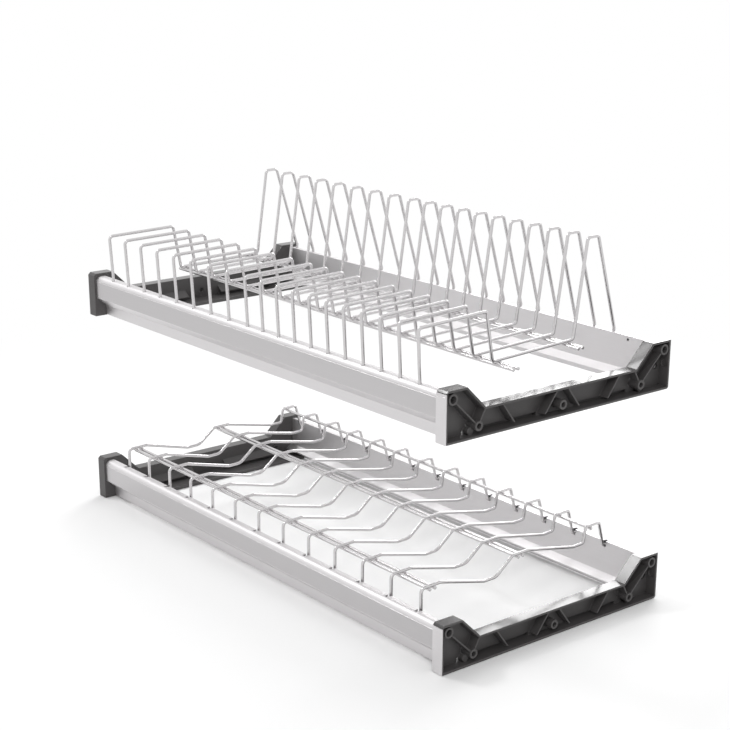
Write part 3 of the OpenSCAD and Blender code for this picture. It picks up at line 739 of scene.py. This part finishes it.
class RACK_OT_stage(bpy.types.Operator):
    """Sets the floor, the light and the camera"""

    bl_idname = "rack.stage"
    bl_label = "Stage"

    def execute(self, context):
        look = context.scene.rack_stage
        self.make_floor(look)
        self.make_world(context, look)
        for name, place, aim, size, mirrored in LAMPS:
            watts = getattr(look, name + "_level")
            area_lamp(name + "_lamp", place, aim, size, watts, mirrored)
        bpy.ops.object.select_all(action="DESELECT")
        bpy.ops.object.camera_add(location=look.camera_place, rotation=(
            math.radians(90 - LOOK_DOWN), math.radians(ROLL), math.radians(TURN)))
        camera = context.object
        camera.name = "photo_camera"
        camera.data.sensor_width = 36.0
        camera.data.lens = look.camera_lens
        camera.data.shift_x, camera.data.shift_y = SHIFT
        camera.data.clip_start = 0.05
        camera.data.clip_end = 60.0
        context.scene.camera = camera
        context.scene.view_settings.view_transform = "Standard"
        return {"FINISHED"}

    def make_floor(self, look):
        """White floor that keeps the rack's shadow and fades to plain white far away."""
        bpy.ops.object.select_all(action="DESELECT")
        bpy.ops.mesh.primitive_plane_add(size=FLOOR_WIDTH, location=(0, 0, -FLOOR_GAP))
        floor = bpy.context.object
        floor.name = "floor"
        material, tree, output = new_material("floor_white")
        place = add_node(tree, "ShaderNodeTexCoord").outputs["Object"]
        reach = add_node(tree, "ShaderNodeVectorMath", {0: place}, operation="LENGTH")
        fade = add_node(tree, "ShaderNodeMapRange", {
            "Value": reach.outputs["Value"], "From Min": FADE_START, "From Max": FADE_END,
        }, interpolation_type="SMOOTHSTEP")
        lit = add_node(tree, "ShaderNodeBsdfDiffuse", {"Color": linear(look.floor_hex)})
        plain = add_node(tree, "ShaderNodeEmission", {"Color": (1, 1, 1, 1), "Strength": 1.0})
        share = add_node(tree, "ShaderNodeMath", {
            0: fade.outputs["Result"], 1: seen_directly(tree)}, operation="MULTIPLY")
        mixed = add_node(tree, "ShaderNodeMixShader", {
            "Fac": share.outputs[0], 1: lit.outputs[0], 2: plain.outputs[0]})
        tree.links.new(mixed.outputs[0], output.inputs["Surface"])
        floor.data.materials.append(material)

    def make_world(self, context, look):
        """Even light, and plain white where the camera or a polished face looks past."""
        world = bpy.data.worlds.new("studio")
        context.scene.world = world
        world.use_nodes = True
        tree = world.node_tree
        tree.nodes.clear()
        output = add_node(tree, "ShaderNodeOutputWorld")
        even = add_node(tree, "ShaderNodeBackground", {
            "Color": (1, 1, 1, 1), "Strength": look.world_level})
        plain = add_node(tree, "ShaderNodeBackground", {
            "Color": (1, 1, 1, 1), "Strength": 1.0})
        mixed = add_node(tree, "ShaderNodeMixShader", {
            "Fac": seen_directly(tree), 1: even.outputs[0], 2: plain.outputs[0]})
        tree.links.new(mixed.outputs[0], output.inputs["Surface"])


# Panel and registration

class RACK_PT_panel(bpy.types.Panel):
    """Lists the steps that finish the rack"""

    bl_label = "Dish Rack"
    bl_idname = "RACK_PT_panel"
    bl_space_type = "VIEW_3D"
    bl_region_type = "UI"
    bl_category = "Dish Rack"

    def draw(self, context):
        for step in STEPS:
            self.layout.operator(step.bl_idname)
        for group in ("rack_finishes", "rack_edges", "rack_stage"):
            settings = getattr(context.scene, group)
            box = self.layout.box()
            for key in settings.__annotations__:
                box.prop(settings, key)


STEPS = (RACK_OT_brackets, RACK_OT_end_covers, RACK_OT_rails, RACK_OT_fasteners,
         RACK_OT_plate_basket, RACK_OT_bowl_basket, RACK_OT_stage)
CLASSES = (RackFinishes, RackEdges, RackStage) + STEPS + (RACK_PT_panel,)


def register():
    for cls in CLASSES:
        bpy.utils.register_class(cls)
    bpy.types.Scene.rack_finishes = PointerProperty(type=RackFinishes)
    bpy.types.Scene.rack_edges = PointerProperty(type=RackEdges)
    bpy.types.Scene.rack_stage = PointerProperty(type=RackStage)


def unregister():
    del bpy.types.Scene.rack_finishes
    del bpy.types.Scene.rack_edges
    del bpy.types.Scene.rack_stage
    for cls in reversed(CLASSES):
        bpy.utils.unregister_class(cls)


def main():
    """Runs every step in order."""
    register()
    bpy.ops.rack.brackets()
    bpy.ops.rack.end_covers()
    bpy.ops.rack.rails()
    bpy.ops.rack.fasteners()
    bpy.ops.rack.plate_basket()
    bpy.ops.rack.bowl_basket()
    bpy.ops.rack.stage()


if __name__ == "__main__":
    main()
